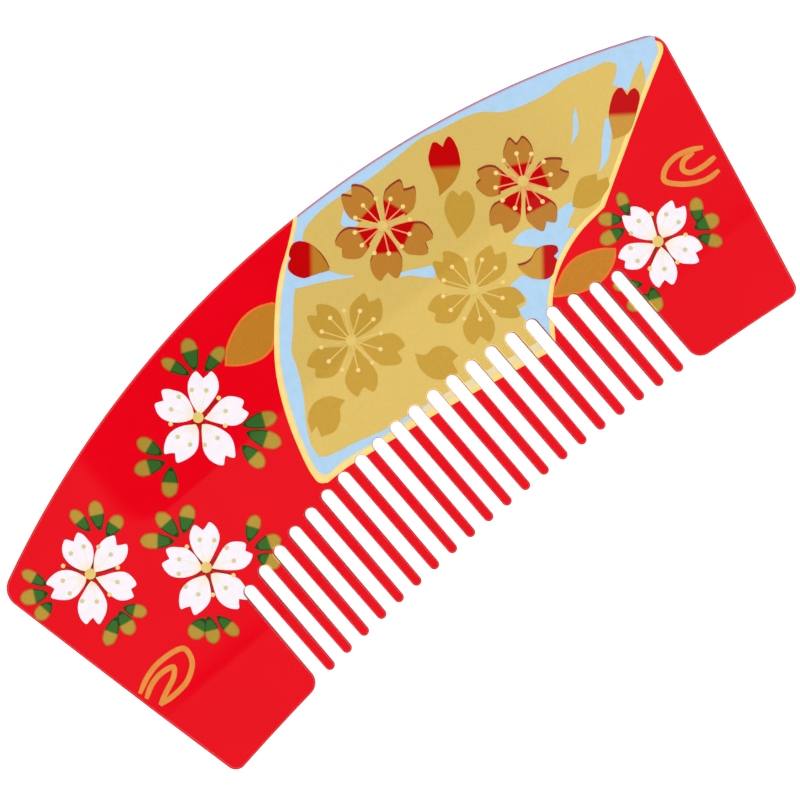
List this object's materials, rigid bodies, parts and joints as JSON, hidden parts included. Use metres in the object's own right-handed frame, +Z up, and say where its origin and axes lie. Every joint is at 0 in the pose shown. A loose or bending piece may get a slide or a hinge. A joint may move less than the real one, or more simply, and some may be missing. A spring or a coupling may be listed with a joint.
{
  "type": "kushi comb",
  "caption": "Low arched hair comb with leaning ends, wide end teeth and a row of thin teeth, lying on its flat back with a printed blossom face up.",
  "frame": {"origin": "centre of the comb's box at the flat back, on the surface that it lies on", "axes": "+X along the comb, +Y from the teeth towards the arched spine, +Z up through the thickness, out of the printed face"},
  "size_m": [0.1064, 0.0478, 0.0052],
  "materials": {
    "red_gloss": "gloss",
    "white_print": "gloss print",
    "gold_print": "gold print",
    "green_print": "gloss print",
    "blue_print": "gloss print"
  },
  "bodies": {
    "root": {"comb_body": "red_gloss", "thin_teeth": "red_gloss"}
  },
  "joints": []
}
